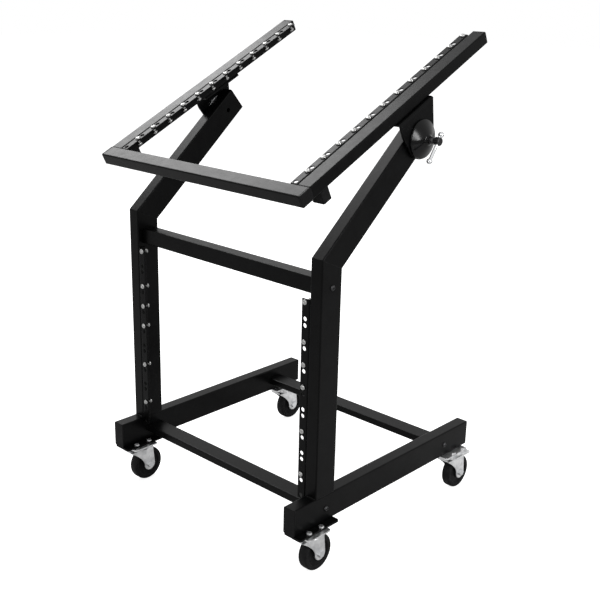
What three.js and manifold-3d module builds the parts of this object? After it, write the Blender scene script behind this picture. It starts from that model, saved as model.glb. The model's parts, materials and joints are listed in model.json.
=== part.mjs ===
// Rolling equipment rack: an open base on four casters carries two uprights that
// lean back into arms. The arms carry an upper rack frame that tilts on a clamped
// pivot. Millimetres, X to the right, Y to the back, Z up, standing on Z = 0.

import * as THREE from 'three';
import { mergeVertices } from 'three/addons/utils/BufferGeometryUtils.js';
import Module from 'manifold-3d';

// Rack pattern: two holes in every unit, the same inset from the unit's edges.
const unitHeight = 44.45;
const rackHoleInset = 6.35;
const rackOpening = 450;
const rackHoleEdge = 7.55;
const rackHoleDiameter = 9;
const lowerUnits = 9;
const upperUnits = 12;
const rackSteel = 2;
const rackBend = 3;
const rackLegDepth = 18;

// Steel tubes of the fixed frame.
const tubeWall = 2;
const tubeCorner = 2.5;
const railWidth = 28;
const railHeight = 55;
const railLength = 562;
const railLead = 58;
const uprightWidth = 28;
const lowerRackFlange = 19;
const uprightDepth = 53.5;
const uprightLength = 468.3;
const armLean = THREE.MathUtils.degToRad(49.2);
const armLength = 353;
const baseBeamDepth = 40;
const baseBeamHeight = 16;
const baseBeamRise = 18;
const frontBaseBeamPlace = 30;
const rearBaseBeamPlace = 419;
const crossBeamDepth = 30;
const crossBeamHeight = 32;
const crossBeamPlace = 28;
const crossBeamRise = 397;
const lowerRackSag = 10.1;

// Plastic end caps of the open tubes.
const capPlate = 3;
const capPlug = 12;
const capWall = 1.5;

// Tilting upper frame.
const tilt = THREE.MathUtils.degToRad(25.8);
const topTubeWidth = 30;
const topTubeHeight = 24;
const topTubeMargin = 11.6;
const frontBeamDepth = 30;
const pivotFromArmEnd = 36;
const pivotBehindBeam = 287.5;
const pivotBelowTubes = 57.4;

// Bent side plates that hang under the tilting tubes, outside the arms.
const bracketSteel = 4;
const bracketLength = 106;
const bracketLead = 47.5;
const bracketShoulder = 28;
const bracketRadius = 38;
const bracketBend = 5;
const ratchetRadius = 30;
const ratchetThickness = 3.7;
const ratchetTeeth = 24;
const ratchetToothDepth = 1.5;

// Clamp on each pivot: a flared cover with a round nose, and a screw with a sliding bar.
const domeRadius = 37;
const domeEdge = 3;
const domeRise = 14;
const domeTopRadius = 14;
const noseRadius = 8;
const noseRise = 19;
const screwRadius = 5;
const screwNeckRadius = 5.5;
const screwHeadRadius = 8;
const screwHeadLength = 11;
const screwHubRadius = 7;
const screwHubLength = 8;
const screwHubChamfer = 1;
const screwReach = 23;
const screwTipInArm = 8;
const barRadius = 3;
const barBallRadius = 5.5;
const barBallSpacing = 55;
const rightBarTurn = THREE.MathUtils.degToRad(35);
const leftBarTurn = THREE.MathUtils.degToRad(6);

// Rubber blocks under the front of the tilting tubes.
const stopPlace = 29;
const stopHeight = 25;
const stopWidth = 28;
const stopLength = 22;
const stopCorner = 3;

// Casters and the wider plates that carry them.
const frontMountPlateLength = 110;
const rearMountPlateLength = 80;
const rearMountPlateInset = 15;
const mountPlateSteel = 4;
const mountHoleEdge = 5;
const casterInset = 46;
const casterPlateSteel = 3;
const casterPlateCorner = 5;
const casterHoleSpacing = 34;
const casterHoleEdge = 14;
const casterHoleDiameter = 7;
const casterHeight = 92;
const raceRadius = 28;
const raceHeight = 5;
const raceSlope = 4;
const cupRadius = 26;
const forkSteel = 2.5;
const forkCrown = 77.5;
const forkReach = 30;
const forkWaist = 17;
const forkFootRadius = 14;
const wheelRadius = 37.5;
const wheelWidth = 20;
const wheelTrail = 20;
const wheelRound = 4;
const wheelDish = 3;
const wheelRimRadius = 27;
const wheelHubRadius = 11;
const wheelHubLength = 23;
const axleRadius = 4;
const axleHeadRadius = 7.5;
const axleHeadLength = 5;

// Fits shared by every piece.
const seatGap = 0.3;
const turningGap = 0.3;
const overrun = 5;

// Facets of round pieces.
const cornerFacets = 2;
const holeFacets = 10;
const pinFacets = 16;
const roundFacets = 32;
const hexFacets = 6;

const wasm = await Module();
wasm.setup();

// Places worked out from the sizes above.
const frameWidth = rackOpening + 2 * (lowerRackFlange + uprightWidth);
const rackHoleColumns = rackOpening + 2 * rackHoleEdge;
const topTubeLength = upperUnits * unitHeight + topTubeMargin;
const pivotAlongArm = armLength - pivotFromArmEnd;
const mountPlateWidth = casterHoleSpacing + 2 * mountHoleEdge;
const casterPlateSide = casterHoleSpacing + 2 * casterHoleEdge;
const railBottom = casterHeight + mountPlateSteel;
const railTop = railBottom + railHeight;
const frameSide = frameWidth / 2;
const railCentre = frameSide - railWidth / 2;
const uprightCentre = frameSide - uprightWidth / 2;
const uprightInside = frameSide - uprightWidth;
const topTubeCentre = frameSide - topTubeWidth / 2;
const bend = { y: 0, z: railTop + uprightLength };
const mitreDrop = uprightDepth * Math.tan(armLean / 2);
const pivot = {
  y: bend.y + pivotAlongArm * Math.sin(armLean) + (uprightDepth / 2) * Math.cos(armLean),
  z: bend.z + pivotAlongArm * Math.cos(armLean) - (uprightDepth / 2) * Math.sin(armLean),
};
const frontReach = pivot.y - (pivotBehindBeam + frontBeamDepth) * Math.cos(tilt)
  - (pivotBelowTubes + topTubeHeight) * Math.sin(tilt)
  + tubeCorner * (Math.cos(tilt) + Math.sin(tilt)) - tubeCorner;
const rearReach = railLength - railLead - casterInset + wheelTrail + wheelRadius;
const centreY = (frontReach + rearReach) / 2;
const lowerRackBottom = railTop - lowerRackSag;
const bracketInside = frameSide + ratchetThickness + seatGap;
const bracketOutside = bracketInside + bracketSteel;
const domeInside = bracketOutside + seatGap;
const hubInside = domeInside + noseRise + turningGap;
const barCentre = hubInside + screwReach - screwHeadLength / 2;
const boreRadius = screwRadius + turningGap;

// A closed mesh as a solid that can be joined and cut.
function solidOf(geometry) {
  const shell = geometry.clone();
  shell.deleteAttribute('normal');
  shell.deleteAttribute('uv');
  const merged = mergeVertices(shell);
  return new wasm.Manifold(new wasm.Mesh({
    numProp: 3,
    vertProperties: new Float32Array(merged.attributes.position.array),
    triVerts: new Uint32Array(merged.index.array),
  }));
}

// A solid back as a mesh geometry with flat faces.
function geometryOf(solid) {
  const mesh = solid.getMesh();
  const geometry = new THREE.BufferGeometry();
  geometry.setAttribute('position', new THREE.BufferAttribute(mesh.vertProperties, 3));
  geometry.setIndex(new THREE.BufferAttribute(mesh.triVerts, 1));
  geometry.computeVertexNormals();
  return geometry;
}

function joined(geometries) {
  return geometryOf(geometries.map(solidOf).reduce((whole, next) => whole.add(next)));
}

function cut(geometry, tools) {
  return geometryOf(tools.map(solidOf).reduce((left, tool) => left.subtract(tool), solidOf(geometry)));
}

// Rectangle with rounded corners, centred on the shape's origin.
function roundedRectangle(width, height, radius) {
  const x = width / 2;
  const y = height / 2;
  const shape = new THREE.Shape();
  shape.absarc(x - radius, y - radius, radius, 0, Math.PI / 2);
  shape.absarc(radius - x, y - radius, radius, Math.PI / 2, Math.PI);
  shape.absarc(radius - x, radius - y, radius, Math.PI, 1.5 * Math.PI);
  shape.absarc(x - radius, radius - y, radius, 1.5 * Math.PI, 2 * Math.PI);
  return shape;
}

// Extrusion of a shape along +Z from the given start.
function extruded(shape, start, end, facets = cornerFacets) {
  const geometry = new THREE.ExtrudeGeometry(shape, {
    depth: end - start,
    bevelEnabled: false,
    curveSegments: facets,
  });
  return geometry.translate(0, 0, start);
}

// Turns a shape drawn in the side view (across, up) and extruded along Z so that
// it stands in the YZ plane and runs along X.
function alongX(geometry) {
  const turn = new THREE.Matrix4().makeBasis(
    new THREE.Vector3(0, 1, 0), new THREE.Vector3(0, 0, 1), new THREE.Vector3(1, 0, 0));
  return geometry.applyMatrix4(turn);
}

// Turns an extrusion along Z so that it runs along Y, its width still along X.
function alongY(geometry) {
  return geometry.rotateX(-Math.PI / 2);
}

// Cylinder along Z between two heights.
function pin(radius, start, end, facets = pinFacets) {
  const geometry = new THREE.CylinderGeometry(radius, radius, end - start, facets);
  return geometry.rotateX(Math.PI / 2).translate(0, 0, (start + end) / 2);
}

// Body turned about Z from points of radius and height.
function turned(points, facets = roundFacets) {
  const profile = points.map(([radius, height]) => new THREE.Vector2(radius, height));
  return new THREE.LatheGeometry(profile, facets).rotateX(Math.PI / 2);
}

// Quarter round of a profile, from one angle to the other about a centre.
function rounding(radius, height, size, from, to) {
  return Array.from({ length: cornerFacets + 1 }, (_, step) => {
    const angle = from + (to - from) * step / cornerFacets;
    return [radius + size * Math.cos(angle), height + size * Math.sin(angle)];
  });
}

// Hollow tube along Z. The bore runs out at each end that is not closed.
function tube(width, height, length, closedEnd = false) {
  const outside = extruded(roundedRectangle(width, height, tubeCorner), 0, length);
  const bore = new THREE.BoxGeometry(width - 2 * tubeWall, height - 2 * tubeWall, length + overrun);
  const boreEnd = closedEnd ? length - tubeWall : length + overrun;
  bore.translate(0, 0, boreEnd - (length + overrun) / 2);
  const start = new THREE.BoxGeometry(width - 2 * tubeWall, height - 2 * tubeWall, length);
  start.translate(0, 0, -overrun + length / 2);
  return cut(outside, [bore, start]);
}

// Cap for a tube along Z: a plate that covers the end and a hollow plug in the bore.
function tubeCap(width, height) {
  const plate = extruded(roundedRectangle(width, height, tubeCorner), 0, capPlate);
  const plugWidth = width - 2 * (tubeWall + seatGap);
  const plugHeight = height - 2 * (tubeWall + seatGap);
  const plug = new THREE.BoxGeometry(plugWidth, plugHeight, capPlug + capPlate);
  plug.translate(0, 0, (capPlate - capPlug) / 2);
  const hollow = new THREE.BoxGeometry(plugWidth - 2 * capWall, plugHeight - 2 * capWall, capPlug + overrun);
  hollow.translate(0, 0, -(capPlug + overrun) / 2);
  return cut(joined([plate, plug]), [hollow]);
}

function blackPaint() {
  return new THREE.MeshStandardMaterial({ color: 0x17181a, roughness: 0.45, metalness: 0.1 });
}

function blackPlastic() {
  return new THREE.MeshStandardMaterial({ color: 0x1c1c1d, roughness: 0.5, metalness: 0 });
}

function rubber() {
  return new THREE.MeshStandardMaterial({ color: 0x111112, roughness: 0.85, metalness: 0 });
}

function zinc() {
  return new THREE.MeshStandardMaterial({ color: 0xb9bcbf, roughness: 0.35, metalness: 1 });
}

function chrome() {
  return new THREE.MeshStandardMaterial({ color: 0xd8dadc, roughness: 0.15, metalness: 1 });
}

function piece(name, geometry, material, position = [0, 0, 0]) {
  const mesh = new THREE.Mesh(geometry, material);
  mesh.name = name;
  mesh.position.set(...position);
  return mesh;
}

function baseRail(side, sign) {
  const length = railLength - 2 * capPlate;
  const geometry = alongY(tube(railWidth, railHeight, length));
  return piece(`base_rail_${side}`, geometry, blackPaint(),
    [sign * railCentre, capPlate - railLead, railBottom + railHeight / 2]);
}

function baseRailCap(side, sign, end) {
  const geometry = alongY(tubeCap(railWidth, railHeight));
  const front = end === 'front';
  const mesh = piece(`base_cap_${end}_${side}`, geometry, blackPlastic(),
    [sign * railCentre, front ? capPlate - railLead : railLength - railLead - capPlate,
      railBottom + railHeight / 2]);
  mesh.rotation.z = front ? Math.PI : 0;
  return mesh;
}

function crosswise(depth, height, length) {
  return alongX(tube(depth, height, length)).translate(-length / 2, 0, 0);
}

function baseBeam(end, place) {
  const geometry = crosswise(baseBeamDepth, baseBeamHeight, frameWidth - 2 * railWidth);
  return piece(`base_beam_${end}`, geometry, blackPaint(),
    [0, place, railBottom + baseBeamRise + baseBeamHeight / 2]);
}

function crossBeam() {
  const geometry = crosswise(crossBeamDepth, crossBeamHeight, 2 * uprightInside);
  return piece('cross_beam', geometry, blackPaint(),
    [0, crossBeamPlace, railTop + crossBeamRise + crossBeamHeight / 2]);
}

// Block with one face on the mitre plane, on the side that is cut away.
function mitreBlock(slope) {
  const size = 2 * (uprightDepth + mitreDrop);
  const block = new THREE.BoxGeometry(2 * uprightWidth, size, size);
  block.translate(0, 0, size / 2);
  return block.rotateX(slope);
}

function upright(side, sign) {
  const bar = tube(uprightWidth, uprightDepth, uprightLength + overrun);
  bar.translate(0, uprightDepth / 2, 0);
  const block = mitreBlock(-armLean / 2).translate(0, 0, uprightLength);
  return piece(`upright_${side}`, cut(bar, [block]), blackPaint(), [sign * uprightCentre, 0, railTop]);
}

// The arm starts on the upright's mitre and leans back; the clamp screw crosses it.
function arm(side, sign) {
  const bar = tube(uprightWidth, uprightDepth, armLength + overrun, true);
  bar.translate(0, uprightDepth / 2, -overrun);
  const block = mitreBlock(armLean / 2).rotateX(Math.PI);
  const bore = pin(boreRadius, -uprightWidth, uprightWidth).rotateY(Math.PI / 2);
  bore.translate(0, uprightDepth / 2, pivotAlongArm);
  const mesh = piece(`arm_${side}`, cut(bar, [block, bore]), blackPaint(),
    [sign * uprightCentre, bend.y, bend.z]);
  mesh.rotation.x = -armLean;
  return mesh;
}

// Bent angle with the rack holes in its face. Local Y runs along the rail, local Z out
// of the face, and the face reaches from the tube towards the middle of the rack.
function rackRail(units, sign, tubeFace) {
  const length = units * unitHeight;
  const width = tubeFace - rackOpening / 2;
  const plate = new THREE.BoxGeometry(width, length, rackSteel);
  plate.translate((rackOpening + width) / 2, length / 2, -rackSteel / 2);
  const leg = new THREE.BoxGeometry(rackSteel, length, rackLegDepth);
  leg.translate(tubeFace - rackSteel / 2, length / 2, -rackLegDepth / 2);
  const holes = Array.from({ length: units }, (_, unit) => [rackHoleInset, unitHeight - rackHoleInset]
    .map((place) => pin(rackHoleDiameter / 2, -rackSteel - overrun, overrun, holeFacets)
      .translate(rackHoleColumns / 2, unit * unitHeight + place, 0))).flat();
  const corner = cornerCut(length + overrun, rackBend).translate(tubeFace, length / 2, 0);
  return mirrored(cut(joined([plate, leg]), [...holes, corner]), sign);
}

function lowerRackRail(side, sign) {
  const geometry = rackRail(lowerUnits, sign, uprightInside).rotateX(Math.PI / 2);
  return piece(`lower_rack_rail_${side}`, geometry, blackPaint(), [0, 0, lowerRackBottom]);
}

function ratchet(side, sign) {
  const shape = new THREE.Shape(Array.from({ length: 2 * ratchetTeeth }, (_, step) => {
    const radius = ratchetRadius - (step % 2) * ratchetToothDepth;
    const angle = Math.PI * step / ratchetTeeth;
    return new THREE.Vector2(radius * Math.cos(angle), radius * Math.sin(angle));
  }));
  const disc = extruded(shape, 0, ratchetThickness);
  const bore = pin(boreRadius, -overrun, ratchetThickness + overrun);
  const geometry = cut(disc, [bore]).rotateY(sign * Math.PI / 2);
  return piece(`ratchet_${side}`, geometry, zinc(), [sign * frameSide, pivot.y, pivot.z]);
}

function topSideTube(side, sign) {
  const geometry = alongY(tube(topTubeWidth, topTubeHeight, topTubeLength - seatGap));
  return piece(`top_tube_${side}`, geometry, blackPaint(),
    [sign * topTubeCentre, seatGap - pivotBehindBeam, pivotBelowTubes + topTubeHeight / 2]);
}

function topTubeCap(side, sign) {
  return piece(`top_tube_cap_${side}`, alongY(tubeCap(topTubeWidth, topTubeHeight)), blackPlastic(),
    [sign * topTubeCentre, topTubeLength + seatGap - pivotBehindBeam,
      pivotBelowTubes + topTubeHeight / 2]);
}

function frontBeam() {
  const length = frameWidth - 2 * (capPlate + seatGap);
  return piece('top_front_beam', crosswise(frontBeamDepth, topTubeHeight, length), blackPaint(),
    [0, -pivotBehindBeam - frontBeamDepth / 2, pivotBelowTubes + topTubeHeight / 2]);
}

function frontBeamCap(side, sign) {
  const geometry = alongX(tubeCap(frontBeamDepth, topTubeHeight));
  const mesh = piece(`top_front_cap_${side}`, geometry, blackPlastic(),
    [sign * (frameSide - capPlate), -pivotBehindBeam - frontBeamDepth / 2,
      pivotBelowTubes + topTubeHeight / 2]);
  mesh.rotation.z = sign > 0 ? 0 : Math.PI;
  return mesh;
}

function upperRackRail(side, sign) {
  const tubeFace = frameSide - topTubeWidth - seatGap;
  return piece(`upper_rack_rail_${side}`, rackRail(upperUnits, sign, tubeFace), blackPaint(),
    [0, seatGap - pivotBehindBeam, pivotBelowTubes + topTubeHeight]);
}

// Bent plate: a web under the tilting tube and a cheek that hangs outside the arm,
// with a round foot about the pivot.
function bracket(side, sign) {
  const top = pivotBelowTubes - seatGap;
  const front = -bracketLead;
  const rear = bracketLength - bracketLead;
  const shoulder = top - bracketShoulder;
  const leftStart = tangentAngle(front, shoulder, bracketRadius, 1);
  const rightEnd = tangentAngle(rear, top, bracketRadius, -1);
  const outline = new THREE.Shape();
  outline.moveTo(rear, top);
  outline.lineTo(front, top);
  outline.lineTo(front, shoulder);
  outline.absarc(0, 0, bracketRadius, leftStart, rightEnd + 2 * Math.PI, false);
  const cheek = alongX(extruded(outline, 0, bracketSteel, roundFacets / 2));
  cheek.translate(bracketInside, 0, 0);
  const inside = frameSide - topTubeWidth;
  const web = new THREE.BoxGeometry(bracketOutside - inside, bracketLength, bracketSteel);
  web.translate((inside + bracketOutside) / 2, (front + rear) / 2, top - bracketSteel / 2);
  const bore = pin(boreRadius, 0, 2 * bracketOutside).rotateY(Math.PI / 2);
  const corner = cornerCut(rear - front + overrun, bracketBend);
  corner.translate(bracketOutside, (front + rear) / 2, top);
  const geometry = cut(joined([cheek, web]), [bore, corner]);
  return piece(`tilt_bracket_${side}`, mirrored(geometry, sign), blackPaint());
}

// Angle at which a line from a point touches a circle about the origin.
function tangentAngle(across, up, radius, turn) {
  return Math.atan2(up, across) + turn * Math.acos(radius / Math.hypot(across, up));
}

// Strip that rounds the outer edge at the origin of a plate bent along Y.
function cornerCut(length, radius) {
  const shape = new THREE.Shape();
  shape.moveTo(overrun, overrun);
  shape.lineTo(-radius, overrun);
  shape.lineTo(-radius, 0);
  shape.absarc(-radius, -radius, radius, Math.PI / 2, 0, true);
  shape.lineTo(overrun, -radius);
  return extruded(shape, -length / 2, length / 2).rotateX(Math.PI / 2);
}

// Mirror image in the plane X = 0 for the left side.
function mirrored(geometry, sign) {
  if (sign > 0) return geometry;
  geometry.scale(-1, 1, 1);
  geometry.setIndex(Array.from(geometry.index.array).reverse());
  geometry.computeVertexNormals();
  return geometry;
}

function rubberStop(side, sign) {
  const geometry = extruded(roundedRectangle(stopWidth, stopLength, stopCorner), -stopHeight, 0);
  return piece(`rubber_stop_${side}`, geometry, rubber(),
    [sign * topTubeCentre, stopPlace - pivotBehindBeam, pivotBelowTubes - seatGap]);
}

function clampCover(side, sign) {
  const geometry = turned([
    [boreRadius, 0],
    [domeRadius, 0],
    [domeRadius, domeEdge],
    [domeTopRadius, domeRise],
    [noseRadius, domeRise],
    [noseRadius, noseRise],
    [boreRadius, noseRise],
    [boreRadius, 0],
  ]).rotateY(sign * Math.PI / 2);
  return piece(`clamp_cover_${side}`, geometry, blackPlastic(), [sign * domeInside, 0, 0]);
}

// Screw through cover, bracket, ratchet and arm, with a cross bore for the bar.
function clampScrew(side, sign) {
  const tip = uprightInside + screwTipInArm - hubInside;
  const screw = turned([
    [0, tip],
    [screwRadius, tip],
    [screwRadius, 0],
    [screwHubRadius, 0],
    [screwHubRadius, screwHubLength - screwHubChamfer],
    [screwHubRadius - screwHubChamfer, screwHubLength],
    [screwNeckRadius, screwHubLength],
    [screwNeckRadius, screwReach - screwHeadLength],
    [screwHeadRadius, screwReach - screwHeadLength],
    [screwHeadRadius, screwReach],
    [0, screwReach],
  ], pinFacets);
  const boreReach = screwHeadRadius + overrun;
  const bore = pin(barRadius + turningGap, -boreReach, boreReach).rotateX(Math.PI / 2);
  bore.translate(0, 0, screwReach - screwHeadLength / 2);
  return piece(`clamp_screw_${side}`, cut(screw, [bore]).rotateZ(Math.PI / 2).rotateY(Math.PI / 2)
    .rotateZ(sign > 0 ? 0 : Math.PI), chrome(), [sign * hubInside, 0, 0]);
}

// Sliding bar, shown slid down until its upper ball rests on the screw.
function clampBar(side, sign) {
  const rest = screwHeadRadius + barBallRadius + turningGap;
  const lower = rest - barBallSpacing;
  const meet = Math.asin(barRadius / barBallRadius);
  const ball = (centre, from, to) => Array.from({ length: 2 * cornerFacets + 1 }, (_, step) => {
    const angle = from + (to - from) * step / (2 * cornerFacets);
    const radius = Math.abs(Math.sin(angle)) < Number.EPSILON ? 0 : barBallRadius * Math.sin(angle);
    return [radius, centre - barBallRadius * Math.cos(angle)];
  });
  const profile = [...ball(lower, 0, Math.PI - meet), ...ball(rest, meet, Math.PI)];
  return piece(`clamp_bar_${side}`, turned(profile, pinFacets), chrome(), [sign * barCentre, 0, 0]);
}

// Everything that turns with the clamp screw of one side.
function clampHandle(side, sign, turn) {
  const handle = new THREE.Group();
  handle.position.set(0, pivot.y, pivot.z);
  handle.rotation.x = -turn;
  handle.add(clampScrew(side, sign), clampBar(side, sign));
  return handle;
}

// The mounting plate is flush with the rail's left side, so plate and caster stand out
// to the right of both rails. Its lead is the distance from its outer end to the swivel.
function mountPlate(name, place, { length, lead, inward, finish }) {
  const plate = extruded(roundedRectangle(mountPlateWidth, length, casterPlateCorner),
    0, mountPlateSteel);
  plate.translate(0, inward * (length / 2 - lead), 0);
  return piece(`mount_plate_${name}`, cut(plate, casterHoles()), finish(),
    [place.x, place.y, casterHeight]);
}

function casterHoles() {
  return [[1, 1], [1, -1], [-1, 1], [-1, -1]].map(([acrossShare, alongShare]) =>
    pin(casterHoleDiameter / 2, -overrun, mountPlateSteel + overrun, holeFacets)
      .translate(acrossShare * casterHoleSpacing / 2, alongShare * casterHoleSpacing / 2, 0));
}

function casterPlate(name, place) {
  const plate = extruded(roundedRectangle(casterPlateSide, casterPlateSide, casterPlateCorner),
    0, casterPlateSteel);
  const race = turned([
    [0, -raceHeight],
    [raceRadius - raceSlope, -raceHeight],
    [raceRadius, 0],
    [raceRadius - raceSlope, casterPlateSteel / 2],
    [0, casterPlateSteel / 2],
  ]);
  return piece(`caster_plate_${name}`, joined([cut(plate, casterHoles()), race]), zinc(),
    [place.x, place.y, casterHeight - casterPlateSteel]);
}

// Fork leg in the side view: wide at the crown, hollowed in front, round about the axle.
function forkLeg() {
  const drop = forkCrown - wheelRadius;
  const front = -forkReach - wheelTrail;
  const rear = forkReach - wheelTrail;
  const shape = new THREE.Shape();
  shape.moveTo(rear, drop + forkSteel);
  shape.lineTo(front, drop + forkSteel);
  shape.lineTo(front, drop);
  shape.quadraticCurveTo(-forkFootRadius, forkWaist, -forkFootRadius, 0);
  shape.absarc(0, 0, forkFootRadius, Math.PI, tangentAngle(rear, drop, forkFootRadius, -1) + 2 * Math.PI);
  shape.lineTo(rear, drop);
  return alongX(extruded(shape, 0, forkSteel, roundFacets / 4)).translate(0, wheelTrail, wheelRadius);
}

function fork(name, place) {
  const inside = wheelHubLength / 2 + turningGap;
  const outside = inside + forkSteel;
  const legs = [forkLeg().translate(inside, 0, 0), forkLeg().translate(-outside, 0, 0)];
  const crown = new THREE.BoxGeometry(2 * outside, 2 * forkReach, forkSteel);
  crown.translate(0, 0, forkCrown + forkSteel / 2);
  const cupTop = casterHeight - casterPlateSteel - raceHeight - turningGap;
  const cup = turned([
    [0, forkCrown + forkSteel / 2],
    [outside, forkCrown + forkSteel / 2],
    [cupRadius, cupTop - raceSlope / 2],
    [cupRadius - raceSlope / 2, cupTop],
    [0, cupTop],
  ], roundFacets / 2);
  const bore = pin(axleRadius + seatGap, -2 * outside, 2 * outside).rotateY(Math.PI / 2);
  bore.translate(0, wheelTrail, wheelRadius);
  return piece(`caster_fork_${name}`, cut(joined([...legs, crown, cup]), [bore]), zinc(),
    [place.x, place.y, 0]);
}

function wheel(name, place) {
  const half = wheelWidth / 2;
  const hub = wheelHubLength / 2;
  const bore = axleRadius + turningGap;
  const edge = half - wheelRound;
  const rim = wheelRadius - wheelRound;
  const side = [
    ...rounding(rim, edge, wheelRound, 0, Math.PI / 2),
    [wheelRimRadius, half],
    [wheelRimRadius - wheelDish, half - wheelDish],
    [wheelHubRadius + wheelDish, half - wheelDish],
    [wheelHubRadius, hub],
    [bore, hub],
  ];
  const other = side.map(([radius, height]) => [radius, -height]).reverse();
  const geometry = turned([...other, ...side, other[0]]).rotateY(Math.PI / 2);
  return piece(`wheel_${name}`, geometry, rubber(), [place.x, place.y + wheelTrail, wheelRadius]);
}

function axle(name, place) {
  const seat = wheelHubLength / 2 + turningGap + forkSteel + seatGap;
  const end = seat + axleHeadLength;
  const geometry = joined([
    pin(axleRadius, -end + seatGap, end - seatGap),
    pin(axleHeadRadius, seat, end, hexFacets),
    pin(axleHeadRadius, -end, -seat, hexFacets),
  ]).rotateY(Math.PI / 2);
  return piece(`axle_${name}`, geometry, zinc(), [place.x, place.y + wheelTrail, wheelRadius]);
}

function tiltingFrame() {
  const frame = new THREE.Group();
  frame.position.set(0, pivot.y, pivot.z);
  frame.rotation.x = tilt;
  frame.add(frontBeam());
  for (const [side, sign] of [['left', -1], ['right', 1]]) {
    frame.add(topSideTube(side, sign), topTubeCap(side, sign), frontBeamCap(side, sign),
      upperRackRail(side, sign), bracket(side, sign), rubberStop(side, sign), clampCover(side, sign));
  }
  return frame;
}

// The front mounting plates are painted like the rails, the rear ones are bare.
function casters() {
  const group = new THREE.Group();
  const front = { length: frontMountPlateLength, lead: casterInset, inward: 1, finish: blackPaint };
  const rear = { length: rearMountPlateLength, lead: casterInset - rearMountPlateInset, inward: -1,
    finish: zinc };
  for (const [end, y, plate] of [['front', casterInset - railLead, front],
    ['rear', railLength - railLead - casterInset, rear]]) {
    for (const [side, sign] of [['left', -1], ['right', 1]]) {
      const name = `${end}_${side}`;
      const place = { x: sign * railCentre + (mountPlateWidth - railWidth) / 2, y };
      group.add(mountPlate(name, place, plate), casterPlate(name, place), fork(name, place),
        wheel(name, place), axle(name, place));
    }
  }
  return group;
}

function fixedFrame() {
  const frame = new THREE.Group();
  frame.add(baseBeam('front', frontBaseBeamPlace), baseBeam('rear', rearBaseBeamPlace), crossBeam());
  for (const [side, sign] of [['left', -1], ['right', 1]]) {
    frame.add(baseRail(side, sign), baseRailCap(side, sign, 'front'), baseRailCap(side, sign, 'rear'),
      upright(side, sign), arm(side, sign), lowerRackRail(side, sign), ratchet(side, sign));
  }
  return frame;
}

const rack = new THREE.Group();
rack.add(fixedFrame(), tiltingFrame(), clampHandle('right', 1, rightBarTurn),
  clampHandle('left', -1, leftBarTurn), casters());
rack.position.y = -centreY;

export default rack;
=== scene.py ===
# %% [markdown]
# # A rolling rack with a tilting top
# This lesson dresses a steel equipment rack. The CAD frame already has every tube, rail, caster
# and clamp where it belongs. Blender adds what a drawing leaves out: smooth turned parts, screws,
# welds, and the paint, zinc, chrome and rubber that make them look real.

import json
import math

import bmesh
import bpy
from mathutils import Matrix, Vector


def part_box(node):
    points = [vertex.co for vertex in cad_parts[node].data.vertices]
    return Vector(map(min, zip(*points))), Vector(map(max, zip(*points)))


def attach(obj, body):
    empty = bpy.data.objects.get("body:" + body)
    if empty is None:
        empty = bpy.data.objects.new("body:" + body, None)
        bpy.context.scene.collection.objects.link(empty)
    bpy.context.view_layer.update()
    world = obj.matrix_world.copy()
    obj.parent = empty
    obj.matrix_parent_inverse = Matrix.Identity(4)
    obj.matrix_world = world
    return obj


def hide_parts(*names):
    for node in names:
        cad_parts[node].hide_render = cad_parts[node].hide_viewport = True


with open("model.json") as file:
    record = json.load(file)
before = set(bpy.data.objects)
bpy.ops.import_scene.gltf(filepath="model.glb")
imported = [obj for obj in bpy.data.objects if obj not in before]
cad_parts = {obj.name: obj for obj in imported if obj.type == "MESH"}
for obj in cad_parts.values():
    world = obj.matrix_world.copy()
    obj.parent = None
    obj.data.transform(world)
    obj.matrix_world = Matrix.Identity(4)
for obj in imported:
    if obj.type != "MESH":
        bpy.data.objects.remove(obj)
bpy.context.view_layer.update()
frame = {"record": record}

# %% [markdown]
# ## Camera
# The photograph was taken from the right front, a little above the rack. The lens and the
# viewpoint were solved from the rows of rack holes, whose spacing is a standard. A camera could be
# placed by eye and nudged, but solved numbers put each edge where the photograph has it.

# %% Camera
def set_camera(place, look, roll, lens, shift):
    data = bpy.data.cameras.new("camera")
    camera = bpy.data.objects.new("camera", data)
    bpy.context.scene.collection.objects.link(camera)
    turn = Vector(look).to_track_quat("-Z", "Y").to_matrix().to_4x4()
    camera.matrix_world = Matrix.Translation(place) @ turn @ Matrix.Rotation(roll, 4, "Z")
    data.lens = lens
    data.shift_x = shift
    data.clip_end = 50
    bpy.context.scene.camera = camera
    return camera


camera = set_camera(place=(1.3642, -1.46955, 1.0855), look=(-0.6497, 0.6943, -0.3096),
                    roll=math.radians(1.17), lens=59.38, shift=0.013)
print("camera", [round(value, 3) for value in camera.location])

# %% [markdown]
# ## Studio
# The background is plain white and the rack is nearly black, so most of what shows on the paint
# is reflection. The world is white where the camera or a polished part looks at it, and only a
# soft grey where it lights dull surfaces. One world with two strengths, mixed by the kind of ray,
# is simpler than a ring of white screens round the rack. The first helper tells the kind of ray:
# it is 1 for the camera's rays and for those that a glossy or clear surface sends on.

# %% Which rays see white
def ray_sees_white(nodes, links):
    path = nodes.new("ShaderNodeLightPath")
    first = nodes.new("ShaderNodeMath")
    first.operation = "MAXIMUM"
    links.new(path.outputs["Is Camera Ray"], first.inputs[0])
    links.new(path.outputs["Is Glossy Ray"], first.inputs[1])
    both = nodes.new("ShaderNodeMath")
    both.operation = "MAXIMUM"
    links.new(first.outputs[0], both.inputs[0])
    links.new(path.outputs["Is Transmission Ray"], both.inputs[1])
    return both.outputs[0]


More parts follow.
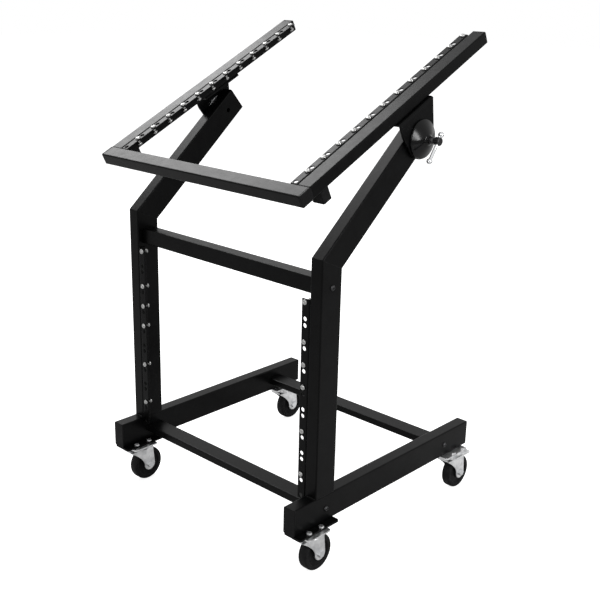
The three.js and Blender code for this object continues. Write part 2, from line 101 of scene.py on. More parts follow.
# %% World
def white_world(fill):
    world = bpy.data.worlds.new("studio")
    world.use_nodes = True
    nodes, links = world.node_tree.nodes, world.node_tree.links
    nodes.clear()
    dull = nodes.new("ShaderNodeBackground")
    dull.inputs["Color"].default_value = (1, 1, 1, 1)
    dull.inputs["Strength"].default_value = fill
    white = nodes.new("ShaderNodeBackground")
    white.inputs["Color"].default_value = (1, 1, 1, 1)
    white.inputs["Strength"].default_value = 1
    mix = nodes.new("ShaderNodeMixShader")
    out = nodes.new("ShaderNodeOutputWorld")
    links.new(ray_sees_white(nodes, links), mix.inputs["Fac"])
    links.new(dull.outputs[0], mix.inputs[1])
    links.new(white.outputs[0], mix.inputs[2])
    links.new(mix.outputs[0], out.inputs["Surface"])
    bpy.context.scene.world = world
    return world


print("world", white_world(fill=0.45).name)
bpy.context.scene.view_settings.view_transform = "Standard"

# %% [markdown]
# ## Lamps
# Three soft lamps shape the black paint. The large one hangs above the left side, where the upper
# faces mirror it towards the camera, so they turn grey while the upright faces stay dark. A tall
# narrow lamp at the right makes the crescent on the round clamp cover. A weak upright strip in
# front gives the bars and casters a line of light.

# %% Lamps
def soft_lamp(name, place, aim, width, height, power):
    data = bpy.data.lights.new(name, "AREA")
    data.shape = "RECTANGLE"
    data.size = width
    data.size_y = height
    data.energy = power
    lamp = bpy.data.objects.new(name, data)
    bpy.context.scene.collection.objects.link(lamp)
    lamp.location = place
    lamp.rotation_euler = (Vector(aim) - Vector(place)).to_track_quat("-Z", "Y").to_euler()
    print("lamp", name, power, "W")


soft_lamp("overhead", place=(-2.15, 0.5, 2.95), aim=(0, 0, 0.75),
          width=1.7, height=2.2, power=102)
soft_lamp("right_window", place=(2.6, 0.02, 1.3), aim=(0.3, -0.1, 0.78),
          width=0.26, height=1.5, power=32)
soft_lamp("front_strip", place=(0.5, -2.6, 1.5), aim=(0.2, 0, 0.7),
          width=0.16, height=1.0, power=9)

# %% [markdown]
# ## Floor
# The photograph has no floor line, only white. A wide pale sheet under the wheels still has to
# catch a faint shadow, so it is a dull white that also glows a little for the camera. The paint
# sees it without the glow, which keeps the upright faces of the rack darker than the upper ones.

# %% White of the floor
def floor_material(grey, glow_strength):
    material = bpy.data.materials.new("floor_white")
    material.use_nodes = True
    nodes, links = material.node_tree.nodes, material.node_tree.links
    nodes.clear()
    dull = nodes.new("ShaderNodeBsdfDiffuse")
    dull.inputs["Color"].default_value = (grey, grey, grey, 1)
    glow = nodes.new("ShaderNodeEmission")
    glow.inputs["Color"].default_value = (1, 1, 1, 1)
    glow.inputs["Strength"].default_value = glow_strength
    both = nodes.new("ShaderNodeAddShader")
    mix = nodes.new("ShaderNodeMixShader")
    out = nodes.new("ShaderNodeOutputMaterial")
    links.new(dull.outputs[0], both.inputs[0])
    links.new(glow.outputs[0], both.inputs[1])
    links.new(nodes.new("ShaderNodeLightPath").outputs["Is Camera Ray"], mix.inputs["Fac"])
    links.new(dull.outputs[0], mix.inputs[1])
    links.new(both.outputs[0], mix.inputs[2])
    links.new(mix.outputs[0], out.inputs["Surface"])
    return material


# %% [markdown]
# ## From bmesh to object
# Shapes are made as a bmesh, which has no place in the scene yet. One helper turns any of them
# into an object, and the floor is the first to use it.

# %% Floor
def object_of(bm, name):
    mesh = bpy.data.meshes.new(name)
    bm.to_mesh(mesh)
    bm.free()
    item = bpy.data.objects.new(name, mesh)
    bpy.context.scene.collection.objects.link(item)
    return item


def floor_sheet(side):
    bm = bmesh.new()
    bmesh.ops.create_grid(bm, x_segments=1, y_segments=1, size=side / 2)
    sheet = object_of(bm, "floor")
    sheet.data.materials.append(floor_material(grey=0.72, glow_strength=0.8))
    print("floor", side, "m wide")


floor_sheet(side=30)

# %% [markdown]
# ## A plain start for every finish
# Each finish begins as the standard surface with its own colour, metal and gloss. Helpers add
# what real surfaces share: a fine bump, an uneven gloss, an uneven colour, and edges that catch
# light because no real edge is perfectly sharp. All patterns follow object coordinates, so they
# stay on the piece when the rack moves.

# %% A finish and its patterns
def new_finish(name, colour, metallic, roughness, specular=0.5):
    material = bpy.data.materials.new(name)
    material.use_nodes = True
    shader = material.node_tree.nodes["Principled BSDF"]
    shader.inputs["Base Color"].default_value = (*colour, 1)
    shader.inputs["Metallic"].default_value = metallic
    shader.inputs["Roughness"].default_value = roughness
    shader.inputs["Specular IOR Level"].default_value = specular
    print("finish", name)
    return material


def pattern(material, scale, detail):
    nodes, links = material.node_tree.nodes, material.node_tree.links
    place = nodes.new("ShaderNodeTexCoord")
    noise = nodes.new("ShaderNodeTexNoise")
    noise.inputs["Scale"].default_value = scale
    noise.inputs["Detail"].default_value = detail
    links.new(place.outputs["Object"], noise.inputs["Vector"])
    return noise.outputs["Fac"]


def ranged(material, amount, start, end, low, high):
    nodes, links = material.node_tree.nodes, material.node_tree.links
    spread = nodes.new("ShaderNodeMapRange")
    spread.inputs["From Min"].default_value = start
    spread.inputs["From Max"].default_value = end
    spread.inputs["To Min"].default_value = low
    spread.inputs["To Max"].default_value = high
    links.new(amount, spread.inputs["Value"])
    return spread.outputs["Result"]


# %% [markdown]
# ## Uneven gloss, uneven colour and bump
# Noise mostly stays near its middle value, so the helpers stretch the middle of its range to the
# two ends that a finish asks for. The colour mixer has several sockets of one name, so its colour
# sockets are found by number. The edge radius only bends the shading at an edge; the mesh of a CAD
# tube stays as it is.

# %% Uneven gloss, uneven colour and bump
def uneven_gloss(material, scale, low, high):
    shader = material.node_tree.nodes["Principled BSDF"]
    noise = pattern(material, scale, detail=4)
    gloss = ranged(material, noise, start=0.3, end=0.7, low=low, high=high)
    material.node_tree.links.new(gloss, shader.inputs["Roughness"])


def uneven_colour(material, scale, dark, light):
    first_colour, second_colour, mixed_colour = 6, 7, 2
    nodes, links = material.node_tree.nodes, material.node_tree.links
    mix = nodes.new("ShaderNodeMix")
    mix.data_type = "RGBA"
    mix.inputs[first_colour].default_value = (*dark, 1)
    mix.inputs[second_colour].default_value = (*light, 1)
    noise = pattern(material, scale, detail=5)
    links.new(ranged(material, noise, start=0.35, end=0.65, low=0, high=1), mix.inputs[0])
    links.new(mix.outputs[mixed_colour], nodes["Principled BSDF"].inputs["Base Color"])


def fine_bump(material, scale, depth, strength, edge=0.0):
    nodes, links = material.node_tree.nodes, material.node_tree.links
    bump = nodes.new("ShaderNodeBump")
    bump.inputs["Strength"].default_value = strength
    bump.inputs["Distance"].default_value = depth
    links.new(pattern(material, scale, detail=3), bump.inputs["Height"])
    if edge:
        round_edge = nodes.new("ShaderNodeBevel")
        round_edge.samples = 6
        round_edge.inputs["Radius"].default_value = edge
        links.new(round_edge.outputs[0], bump.inputs["Normal"])
    links.new(bump.outputs[0], nodes["Principled BSDF"].inputs["Normal"])


# %% [markdown]
# ## Black powder coat
# The tubes are powder coated: a satin black with a very fine orange-peel skin. It reflects little
# when seen square on and much more at a flat angle, which is why the top faces look grey and the
# fronts stay black. A low specular level gives just that contrast.

# %% Black powder coat
def powder_coat():
    material = new_finish("black_powder_coat", colour=(0.0022, 0.0022, 0.0024), metallic=0,
                          roughness=0.32, specular=0.07)
    uneven_colour(material, scale=35, dark=(0.0016, 0.0016, 0.0017),
                  light=(0.0028, 0.0029, 0.003))
    uneven_gloss(material, scale=60, low=0.28, high=0.35)
    fine_bump(material, scale=1400, depth=0.0001, strength=0.12, edge=0.0015)
    return material


coat = powder_coat()

# %% [markdown]
# ## Plastics and rubber
# The tube caps are moulded plastic with a fine grain, the clamp covers are polished plastic, and
# the stops and tyres are rubber. They differ mostly in gloss, so each keeps the same dark colour
# family and has its own roughness and grain.

# %% Plastics and rubber
def cap_plastic():
    material = new_finish("cap_plastic", colour=(0.004, 0.004, 0.0042), metallic=0,
                          roughness=0.5, specular=0.08)
    uneven_gloss(material, scale=90, low=0.42, high=0.58)
    fine_bump(material, scale=2600, depth=0.0001, strength=0.2, edge=0.0022)
    return material


def polished_plastic():
    material = new_finish("polished_plastic", colour=(0.0025, 0.0025, 0.0027), metallic=0,
                          roughness=0.14, specular=0.16)
    uneven_gloss(material, scale=40, low=0.11, high=0.18)
    fine_bump(material, scale=700, depth=0.00005, strength=0.05)
    return material


def stop_rubber():
    material = new_finish("stop_rubber", colour=(0.005, 0.005, 0.0053), metallic=0,
                          roughness=0.75, specular=0.1)
    uneven_gloss(material, scale=150, low=0.65, high=0.85)
    fine_bump(material, scale=1800, depth=0.0001, strength=0.25)
    return material


def tyre_rubber():
    material = new_finish("tyre_rubber", colour=(0.007, 0.007, 0.0074), metallic=0,
                          roughness=0.6, specular=0.1)
    uneven_colour(material, scale=55, dark=(0.0045, 0.0045, 0.0048), light=(0.01, 0.01, 0.0105))
    uneven_gloss(material, scale=120, low=0.5, high=0.75)
    fine_bump(material, scale=1500, depth=0.0001, strength=0.25)
    return material


caps, polish, stops, tyres = cap_plastic(), polished_plastic(), stop_rubber(), tyre_rubber()

# %% [markdown]
# ## Bright and dark metals
# The casters and toothed discs are zinc plated and slightly cloudy. The sliding bars and the
# caster axles are chrome, clear as a mirror, with a darker edge tint so that they show against
# the white world. The rack screws are a dull nickel. The clamp screws and the frame bolts are
# blackened steel. A metal's colour is only its tint, so the difference again comes from the
# roughness and from how even it is.

# %% Bright and dark metals
def zinc_plate():
    material = new_finish("zinc_plate", colour=(0.68, 0.683, 0.687), metallic=1, roughness=0.34)
    uneven_colour(material, scale=70, dark=(0.56, 0.564, 0.57), light=(0.78, 0.783, 0.786))
    uneven_gloss(material, scale=160, low=0.28, high=0.46)
    fine_bump(material, scale=900, depth=0.0001, strength=0.06, edge=0.0006)
    return material


def chrome_plate():
    material = new_finish("chrome_plate", colour=(0.74, 0.75, 0.76), metallic=1, roughness=0.08)
    shader = material.node_tree.nodes["Principled BSDF"]
    shader.inputs["Specular Tint"].default_value = (0.2, 0.2, 0.21, 1)
    uneven_gloss(material, scale=50, low=0.05, high=0.12)
    fine_bump(material, scale=500, depth=0.00005, strength=0.02)
    return material


def nickel_plate():
    material = new_finish("nickel_plate", colour=(0.36, 0.36, 0.355), metallic=1, roughness=0.28)
    uneven_gloss(material, scale=300, low=0.18, high=0.34)
    fine_bump(material, scale=1200, depth=0.00005, strength=0.06)
    return material


def dark_oxide():
    material = new_finish("dark_oxide", colour=(0.05, 0.05, 0.052), metallic=1, roughness=0.3)
    uneven_gloss(material, scale=300, low=0.22, high=0.4)
    fine_bump(material, scale=1200, depth=0.00005, strength=0.06)
    return material


zinc, chrome, nickel, oxide = zinc_plate(), chrome_plate(), nickel_plate(), dark_oxide()

# %% [markdown]
# ## Dress the CAD pieces
# The tubes, rails, brackets and plates already have the right shape, so they stay and only get a
# finish. The finish is chosen from the record's material slot of each node. Only the axles differ:
# they share the slot of the zinc parts, and the photograph shows them brighter.

# %% Dress the CAD pieces
finish_of = {"black_paint": coat, "black_plastic": caps, "gloss_black": polish, "rubber": stops,
             "zinc": zinc, "chrome": chrome}
slot_of = {part["node"]: part["material_slot"] for part in frame["record"]["subparts"]}
for node, slot in slot_of.items():
    for place in bpy.data.objects[node].material_slots:
        place.material = chrome if node.startswith("axle") else finish_of[slot]
print("dressed", len(slot_of), "nodes")

# %% [markdown]
# ## Turned parts
# Wheels, covers, clamp screws and bars were all made on a lathe or in a round mould. The same way
# works here: draw half the outline and spin it about its axis. A bevel modifier then softens the
# rings where two faces meet, as the real tool or mould does.

# %% Helpers for turned parts
def spun(rings, closed=False, steps=64):
    bm = bmesh.new()
    points = [bm.verts.new((radius, 0, height)) for radius, height in rings]
    edges = [bm.edges.new(pair) for pair in zip(points, points[1:])]
    if closed:
        edges.append(bm.edges.new((points[-1], points[0])))
    bmesh.ops.spin(bm, geom=points + edges, cent=(0, 0, 0), axis=(0, 0, 1), angle=2 * math.pi,
                   steps=steps, use_merge=True)
    bmesh.ops.remove_doubles(bm, verts=bm.verts, dist=1e-6)
    bmesh.ops.recalc_face_normals(bm, faces=bm.faces)
    return bm


def finished(name, bm, material, body, soft=0.0, stands_for=()):
    item = object_of(bm, name)
    item.data.shade_smooth()
    item.data.materials.append(material)
    if soft:
        edge = item.modifiers.new("soft_edge", "BEVEL")
        edge.width = soft
        edge.segments = 3
        edge.limit_method = "ANGLE"
        edge.angle_limit = math.radians(32)
        edge.harden_normals = True
    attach(item, body)
    if stands_for:
        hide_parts(*stands_for)
    print(name, len(item.data.polygons), "faces")


# %% [markdown]
# ## Places and moves
# Every new piece takes its place from the frame: from the box of the CAD node that it covers, or
# from the joint that it turns about. A turned part is drawn upright at the origin and moved into
# its place while it is still a bare bmesh, so the finished object itself never moves.

# %% Places and moves
def corners_of(node):
    low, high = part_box(node)
    return Vector(low), Vector(high)


def middle(node):
    low, high = corners_of(node)
    return (low + high) / 2


def moved(bm, matrix):
    bmesh.ops.transform(bm, matrix=matrix, verts=bm.verts)
    return bm


def add(bm, other):
    mesh = bpy.data.meshes.new("part")
    other.to_mesh(mesh)
    other.free()
    bm.from_mesh(mesh)
    bpy.data.meshes.remove(mesh)


def outward(place, sign):
    return Matrix.Translation(place) @ Matrix.Rotation(sign * math.pi / 2, 4, "Y")


along_x = Matrix.Rotation(math.pi / 2, 4, "Y")
side_sign = {"left": -1, "right": 1}
caster_places = [(end, side) for end in ("front", "rear") for side in side_sign]
joints = {joint["name"]: joint for joint in frame["record"]["behaviour"]["joints"]}

# %% [markdown]
# ## Wheels
# Each wheel is a 75 mm rubber tyre on a moulded centre, turning on a bush. Tyre and centre are one
# outline here. The tyre has a nearly flat tread with round shoulders, and its side falls back to a
# shallow dish round the hub.

# %% Wheels
tyre_width = 0.020


def wheel_outline(radius, width, hub):
    half = width / 2
    dish = half * 0.62
    side = [(radius, half * 0.55), (radius * 0.985, half * 0.8), (radius * 0.94, half),
            (radius * 0.76, half), (radius * 0.73, half * 0.86), (radius * 0.7, dish),
            (radius * 0.36, dish), (radius * 0.3, hub / 2), (radius * 0.12, hub / 2)]
    return [(r, -h) for r, h in reversed(side)] + side


for end, side in caster_places:
    node = f"wheel_{end}_{side}"
    low, high = corners_of(node)
    size = high - low
    bm = spun(wheel_outline(size.z / 2, tyre_width, hub=size.x), closed=True, steps=80)
    moved(bm, Matrix.Translation(middle(node)) @ along_x)
    finished(f"tyre_{end}_{side}", bm, tyres, node, soft=0.0012, stands_for=[node])

# %% [markdown]
# ## Caster forks
# A fork is pressed from zinc-plated sheet: two legs that are wide at the crown, hollowed in front
# and round about the axle, a flat crown, and a shallow cup that holds the ball race. A leg is one
# outline in the side view, pulled out to the thickness of the sheet. The hollow is a curve drawn
# by three points, and the foot is an arc that the rear edge meets as a tangent.

# %% Outline of a fork's leg
fork_sheet = 0.0025
fork_reach = 0.030
fork_crown = 0.0800
fork_waist = 0.017
fork_foot = 0.014


def leg_outline(trail, crown):
    front, rear = -fork_reach - trail, fork_reach - trail
    under = crown - fork_sheet
    steps = [step / 10 for step in range(11)]
    hollow = [((1 - t) ** 2 * front - (1 - (1 - t) ** 2) * fork_foot,
               (1 - t) ** 2 * under + 2 * t * (1 - t) * fork_waist) for t in steps]
    touch = math.atan2(under, rear) - math.acos(fork_foot / math.hypot(rear, under))
    arc = [math.pi + (math.pi + touch) * step / 24 for step in range(1, 25)]
    foot = [(fork_foot * math.cos(angle), fork_foot * math.sin(angle)) for angle in arc]
    return [(rear, crown), (front, crown)] + hollow + foot


def pulled_out(outline, place, thick):
    bm = bmesh.new()
    face = bm.faces.new([bm.verts.new((place.x - thick / 2, place.y + along, place.z + up))
                         for along, up in outline])
    grown = bmesh.ops.extrude_face_region(bm, geom=[face])
    moving = [item for item in grown["geom"] if isinstance(item, bmesh.types.BMVert)]
    bmesh.ops.translate(bm, vec=(thick, 0, 0), verts=moving)
    bmesh.ops.recalc_face_normals(bm, faces=bm.faces)
    return bm


print("fork", fork_crown, "high,", 2 * fork_reach, "long at the crown")

# %% [markdown]
# ## The ball cup and the whole fork
# The cup is a turned dish that sinks a little into the crown. The legs, the crown and the cup
# are joined as one piece, because the real fork is one pressing.

# %% The ball cup and the whole fork
leg_offset = 0.0133
cup_sink = 0.0012
cup_foot = 0.0145
cup_radius = 0.0260
cup_rim = 0.0250


def ball_cup(stem, low, high):
    outline = [(0, low), (cup_foot, low), (cup_foot + 0.0035, low + 0.0006),
               (cup_radius - 0.0003, high - 0.0022), (cup_radius, high - 0.0014),
               (cup_rim, high), (0, high)]
    return moved(spun(outline, steps=72), Matrix.Translation((stem.x, stem.y, 0)))


for end, side in caster_places:
    node = f"caster_fork_{end}_{side}"
    top = corners_of(node)[1].z
    stem = Vector(joints[f"swivel_{end}_{side}"]["pos_m"])
    axle = middle(f"axle_{end}_{side}")
    outline = leg_outline(axle.y - stem.y, fork_crown - axle.z)
    bm = pulled_out(outline, axle - Vector((leg_offset, 0, 0)), fork_sheet)
    add(bm, pulled_out(outline, axle + Vector((leg_offset, 0, 0)), fork_sheet))
    crown = bmesh.new()
    crown_size = (2 * leg_offset + fork_sheet, 2 * fork_reach, fork_sheet)
    bmesh.ops.create_cube(crown, size=1, matrix=Matrix.Translation(
        (stem.x, stem.y, fork_crown - fork_sheet / 2)) @ Matrix.Diagonal((*crown_size, 1)))
    add(bm, crown)
    add(bm, ball_cup(stem, fork_crown - cup_sink, top))
    finished(f"pressed_fork_{end}_{side}", bm, zinc, f"fork_{end}_{side}", soft=0.0009,
             stands_for=[node])

# %% [markdown]
# ## The tilting frame's own directions
# The top of the rack leans back about the pivot. What sits on it is built as if it were level,
# with the pivot at the origin, and then leaned by one matrix. The lean is the travel from the
# tilt joint's lower limit, where the top is level.

# %% The tilting frame's own directions
tilt_joint = joints["frame_tilt"]
pivot = Vector(tilt_joint["pos_m"])
tilt = math.radians(-tilt_joint["range_deg"][0])
leaned = Matrix.Translation(pivot) @ Matrix.Rotation(tilt, 4, "X")

beam_back = -0.2875
tube_bottom = 0.0574
tube_height = 0.024
tube_top = tube_bottom + tube_height
tube_x = middle("top_tube_right").x
seat_gap = 0.0003
print("tilt", round(math.degrees(tilt), 1), "tubes at", round(tube_x, 4))

# %% [markdown]
# ## Rubber stops
# Under the front of each tilting tube sits a dark rubber block that lands near the arm when the
# frame is tilted back. Its upright corners are rounded first, and then its lower rim, as on a
# moulded block.

# %% Rubber stops
stop_behind_beam = 0.029


def rubber_block(width, length, height, corner, rim):
    bm = bmesh.new()
    bmesh.ops.create_cube(bm, size=1, matrix=Matrix.Translation((0, 0, -height / 2))
                          @ Matrix.Diagonal((width, length, height, 1)))
    upright = [edge for edge in bm.edges
               if abs(edge.verts[0].co.z - edge.verts[1].co.z) > rim]
    bmesh.ops.bevel(bm, geom=upright, offset=corner, offset_type="OFFSET", segments=6,
                    profile=0.5, affect="EDGES", material=-1)
    lower = [edge for edge in bm.edges if all(vert.co.z < rim - height for vert in edge.verts)
             and len({face.normal.z < -0.9 for face in edge.link_faces}) == 2]
    bmesh.ops.bevel(bm, geom=lower, offset=rim, offset_type="OFFSET", segments=4,
                    profile=0.5, affect="EDGES", material=-1)
    bmesh.ops.recalc_face_normals(bm, faces=bm.faces)
    return bm


for side, sign in side_sign.items():
    place = (sign * tube_x, beam_back + stop_behind_beam, tube_bottom - seat_gap)
    bm = moved(rubber_block(width=0.028, length=0.022, height=0.025, corner=0.003, rim=0.0012),
               leaned @ Matrix.Translation(place))
    finished(f"stop_{side}", bm, stops, "tilt_frame", soft=0.0004,
             stands_for=[f"rubber_stop_{side}"])

# %% [markdown]
# ## Clamp covers
# A round black cover hides the toothed discs at each pivot. It is a polished moulding: a short
# rim, a flared skirt that swells and then sweeps up, and a round nose where the screw goes in. The
# swell is what gives the tall bright crescent in the photograph. The outline was drawn one ring
# after another, each as a radius and a height above the bracket.

# %% Clamp covers
cover_bore = 0.0053
cover_radius = 0.0370
cover_rise = 0.0190
cover_swell = [(0.0362, 0.0040), (0.0340, 0.0052), (0.0300, 0.0074), (0.0260, 0.0095),
               (0.0220, 0.0115), (0.0180, 0.0133), (0.0145, 0.0148), (0.0120, 0.0155),
               (0.0102, 0.0163), (0.0090, 0.0176)]
cover_rings = [(cover_bore, 0), (cover_radius, 0), (cover_radius, 0.0024), *cover_swell,
               (0.0078, cover_rise), (cover_bore, cover_rise)]
for side, sign in side_sign.items():
    node = f"clamp_cover_{side}"
    low, high = corners_of(node)
    start = low.x if sign > 0 else high.x
    bm = moved(spun(cover_rings, closed=True, steps=96), outward((start, pivot.y, pivot.z), sign))
    finished(f"cover_{side}", bm, polish, "tilt_frame", soft=0.0006,
             stands_for=[node])

# %% [markdown]
# ## Clamp screws
# Each clamp is a dark screw with a chrome bar through its head. The screw's shank, hub, neck and
# head are one turned outline. It starts at the tip inside the arm, and only the last 23 mm stand
# outside the cover's bore.

# %% Clamp screws
screw_outside = 0.023
shank_radius = 0.0050
hub_radius = 0.0070
neck_radius = 0.0055
head_radius = 0.0080
screw_bevel = 0.0008


def clamp_screw_outline(length):
    hub = length - screw_outside
    return [(0, 0), (shank_radius - screw_bevel, 0), (shank_radius, screw_bevel),
            (shank_radius, hub), (hub_radius, hub), (hub_radius, hub + 0.006),
            (hub_radius - screw_bevel, hub + 0.008), (neck_radius, hub + 0.0085),
            (neck_radius, hub + 0.0112), (head_radius, hub + 0.0125),
            (head_radius, length - 0.0015), (head_radius - 0.0014, length), (0, length)]


for side, sign in side_sign.items():
    node = f"clamp_screw_{side}"
    low, high = corners_of(node)
    tip = low.x if sign > 0 else high.x
    bm = moved(spun(clamp_screw_outline(high.x - low.x), steps=48),
               outward((tip, pivot.y, pivot.z), sign))
    finished(f"screw_{side}", bm, oxide, f"clamp_{side}", soft=0.0005,
             stands_for=[node])

# %% [markdown]
# ## Sliding bars
# The bar has a ball on each end so that it can't fall out of the screw's head. One outline goes
# from the pole of the lower ball, along the rod, to the pole of the upper ball. The rod's
# direction is read from its slide joint, so the bar and its joint agree.

# %% Sliding bars
ball_spacing = 0.055
ball_radius = 0.0055
rod_radius = 0.003


def ball_ring(centre, upward):
    meet = math.pi - math.asin(rod_radius / ball_radius)
    angles = [meet * step / 8 for step in range(9)]
    ring = [(ball_radius * math.sin(angle), centre - ball_radius * math.cos(angle))
            for angle in angles]
    if upward:
        ring = [(r, 2 * centre - h) for r, h in reversed(ring)]
    return ring


for side in side_sign:
    node = f"clamp_bar_{side}"
    direction = Vector(joints[f"bar_{side}_slide"]["axis"])
    outline = ball_ring(-ball_spacing / 2, upward=False)
    outline += ball_ring(ball_spacing / 2, upward=True)
    bm = moved(spun(outline, steps=40), Matrix.Translation(middle(node))
               @ direction.to_track_quat("Z", "X").to_matrix().to_4x4())
    finished(f"bar_{side}_rod", bm, chrome, f"bar_{side}", stands_for=[node])

# %% [markdown]
# ## Head of a rack screw
# Dull pan-head screws sit in some of the rack holes. One head is modelled and used again for
# every screw. Its cross recess is cut by a boolean with two crossed bars, and the cut mesh is
# kept, so no screw carries a modifier of its own.

# %% Head of a rack screw
head_flat = 0.0034
recess_bar = (0.0052, 0.0011, 0.003)


def crossed_head():
    head = object_of(spun([(0, 0), (0.0052, 0), (0.0054, 0.0009), (0.0050, 0.0021),
                           (0.0038, 0.0030), (0.0020, head_flat), (0, 0.0035)], steps=36),
                     "screw_head")
    cutter = bmesh.new()
    for turn in (0, math.pi / 2):
        bmesh.ops.create_cube(cutter, size=1, matrix=Matrix.Translation((0, 0, head_flat))
                              @ Matrix.Rotation(turn, 4, "Z") @ Matrix.Diagonal((*recess_bar, 1)))
    cross = object_of(cutter, "screw_cross")
    cut = head.modifiers.new("recess", "BOOLEAN")
    cut.operation = "DIFFERENCE"
    cut.solver = "EXACT"
    cut.use_self = True
    cut.object = cross
    recessed = head.evaluated_get(bpy.context.evaluated_depsgraph_get())
    mesh = bpy.data.meshes.new_from_object(recessed)
    bpy.data.objects.remove(head)
    bpy.data.objects.remove(cross)
    return mesh


head_mesh = crossed_head()
print("one screw head", len(head_mesh.polygons), "faces")

# %% [markdown]
# ## Thread and nut
# The shank is a turned outline whose rings swell once in each turn, which looks like a thread at
# this size and costs far less than a real helix. A nut is a short six-sided prism, and the bolt
# heads further down are the same prism.

# %% Thread and nut
def shank_outline(radius, length, pitch):
    root = radius * 0.86
    rings = [(0, -length), (radius * 0.8, -length)]
    for turn in range(int(length / pitch)):
        start = -length + turn * pitch
        rings += [(root, start + pitch * 0.25), (radius, start + pitch * 0.6)]
    return rings + [(root, -0.0002), (root, 0), (0, 0)]


def hexagon_prism(radius, height):
    bm = bmesh.new()
    bmesh.ops.create_cone(bm, cap_ends=True, segments=6, radius1=radius, radius2=radius,
                          depth=height, matrix=Matrix.Translation((0, 0, height / 2)))
    return bm


# %% [markdown]
# ## A row of rack screws
# All the screws of one rail are one piece. Each has a nut near its end, and its cross is turned a
# little further than the one before, because nobody lines them up. The head's mesh is copied into
# the row for each place, so a row is built by one loop.

# %% A row of rack screws
screw_length = 0.0145
nut_place = -0.0125
cross_turn = 37


def rack_screws(name, places, body):
    whole = bmesh.new()
    for number, place in enumerate(places):
        one = bmesh.new()
        one.from_mesh(head_mesh)
        add(one, spun(shank_outline(radius=0.0028, length=screw_length, pitch=0.0012), steps=20))
        add(one, moved(hexagon_prism(radius=0.0052, height=0.0032),
                       Matrix.Translation((0, 0, nut_place))))
        turn = Matrix.Rotation(math.radians(cross_turn * number % 90), 4, "Z")
        add(whole, moved(one, place @ turn))
    finished(name, whole, nickel, body)


# %% [markdown]
# ## Which holes have a screw
# A rack unit is 44.45 mm high and has two of these holes, and the two columns are 465.1 mm apart.
# Each upper rail has a screw in the upper hole of all its twelve units, and each lower rail has
# six, where the photograph shows them. The upper rows lean with the frame; the lower ones face
# the front.

# %% Which holes have a screw
unit = 0.04445
first_hole, second_hole = 0.00635, 0.0381
column_x = 0.4651 / 2
upper_units = 12
rail_start = beam_back + seat_gap
lower_heights = [8 * unit + second_hole]
lower_heights += [count * unit + first_hole for count in (7, 6, 5, 3, 1)]
facing_front = Matrix.Rotation(math.pi / 2, 4, "X")
for side, sign in side_sign.items():
    row = [(sign * column_x, rail_start + second_hole + count * unit, tube_top)
           for count in range(upper_units)]
    rack_screws(f"upper_rack_screws_{side}",
                [leaned @ Matrix.Translation(place) for place in row], "tilt_frame")
    low = corners_of(f"lower_rack_rail_{side}")[0]
    row = [(sign * column_x, low.y, low.z + height) for height in lower_heights]
    rack_screws(f"lower_rack_screws_{side}",
                [Matrix.Translation(place) @ facing_front for place in row], "base")

# %% [markdown]
# ## Frame bolts
# The three cross pieces end in a button-head bolt on each outer face of the rack: one pair high on
# the uprights, and two pairs on the base rails. A bolt is a domed head with a six-sided socket:
# the top ring of the dome is closed by a hexagon that is pushed in.

# %% Frame bolts
def button_head(radius, height, socket):
    dome = spun([(radius, 0), (radius * 0.97, height * 0.35), (radius * 0.85, height * 0.7),
                 (radius * 0.62, height)], steps=36)
    rim = [edge for edge in dome.edges
           if edge.is_boundary and edge.verts[0].co.z > height * 0.9]
    hexagon = bmesh.ops.create_circle(dome, cap_ends=False, segments=6, radius=socket,
                                      matrix=Matrix.Translation((0, 0, height)))
    ring = list({edge for vert in hexagon["verts"] for edge in vert.link_edges})
    bmesh.ops.bridge_loops(dome, edges=rim + ring)
    sunk = bmesh.ops.extrude_edge_only(dome, edges=ring)
    low = [item for item in sunk["geom"] if isinstance(item, bmesh.types.BMVert)]
    bmesh.ops.translate(dome, vec=(0, 0, -height * 0.7), verts=low)
    bmesh.ops.contextual_create(dome, geom=[edge for edge in dome.edges
                                            if edge.is_boundary and edge.verts[0] in low])
    bmesh.ops.holes_fill(dome, edges=[edge for edge in dome.edges if edge.is_boundary])
    bmesh.ops.recalc_face_normals(dome, faces=dome.faces)
    return dome


outer_face = corners_of("upright_right")[1].x
bolts = bmesh.new()
for sign in side_sign.values():
    for node in ("cross_beam", "base_beam_front", "base_beam_rear"):
        place = (sign * outer_face, middle(node).y, middle(node).z)
        add(bolts, moved(button_head(radius=0.0055, height=0.0030, socket=0.0022),
                         outward(place, sign)))
finished("frame_bolts", bolts, oxide, "base", soft=0.0003)

# %% [markdown]
# ## Caster bolts
# Two bolts of each caster come up through the mounting plate beside the rail, where their heads
# show; a nut under the caster plate closes each. Head and nut are short six-sided prisms, and the
# bevel modifier gives them their chamfer.

# %% Caster bolts
bolt_offset = 0.017
plate_steel = 0.003
nut_height = 0.0045
shank_length = 0.0145


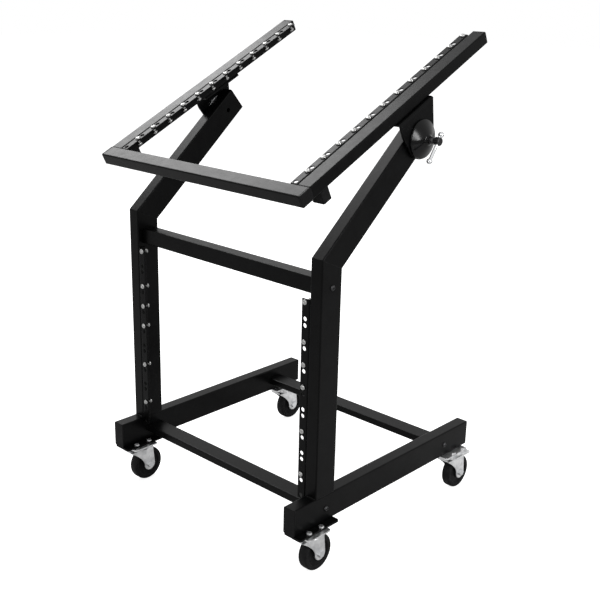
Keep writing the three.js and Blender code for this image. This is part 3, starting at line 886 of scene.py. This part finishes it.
def caster_bolt(place, head_seat, nut_seat):
    bm = moved(hexagon_prism(radius=0.0058, height=0.0040),
               Matrix.Translation((*place, head_seat)))
    add(bm, moved(hexagon_prism(radius=0.0058, height=nut_height),
                  Matrix.Translation((*place, nut_seat - nut_height))))
    shank = spun([(0, -shank_length), (0.0030, -shank_length), (0.0030, 0), (0, 0)], steps=20)
    add(bm, moved(shank, Matrix.Translation((*place, head_seat))))
    return bm


for end, side in caster_places:
    plate = f"caster_plate_{end}_{side}"
    head_seat = corners_of(f"mount_plate_{end}_{side}")[1].z
    nut_seat = corners_of(plate)[1].z - plate_steel
    bolts = bmesh.new()
    for along in (-bolt_offset, bolt_offset):
        place = (middle(plate).x + bolt_offset, middle(plate).y + along)
        add(bolts, caster_bolt(place, head_seat, nut_seat))
    finished(f"caster_bolts_{end}_{side}", bolts, zinc, "base", soft=0.0006)

# %% [markdown]
# ## Welds
# The upright stands on the base rail in a bead of weld, painted over with the rest. A bead is a
# row of small overlapping ripples; here one rounded bar is rippled along its length and laid in
# the corner at the front of each foot. The same bead, sunk almost flush, fills the groove where
# each tilting tube meets the front beam.

# %% Welds
bead_sink = 0.0020


def weld_bead(length, radius, ripples):
    rings = [(0, -length / 2)]
    count = ripples * 4
    for step in range(count + 1):
        swell = 0.86 + 0.14 * abs(math.sin(math.pi * step / 4))
        along = radius * 0.4 + (length - radius * 0.8) * step / count
        rings.append((radius * swell, along - length / 2))
    rings.append((0, length / 2))
    return spun(rings, steps=14)


foot_beads = bmesh.new()
beam_beads = bmesh.new()
for side, sign in side_sign.items():
    low = corners_of(f"upright_{side}")[0]
    foot = Matrix.Translation((middle(f"upright_{side}").x, low.y, low.z))
    add(foot_beads, moved(weld_bead(length=0.024, radius=0.0024, ripples=9), foot @ along_x))
    groove = Matrix.Translation((sign * tube_x, beam_back, tube_top - bead_sink))
    add(beam_beads, moved(weld_bead(length=0.026, radius=0.0022, ripples=9),
                          leaned @ groove @ along_x))
finished("foot_welds", foot_beads, coat, "base")
finished("beam_welds", beam_beads, coat, "tilt_frame")
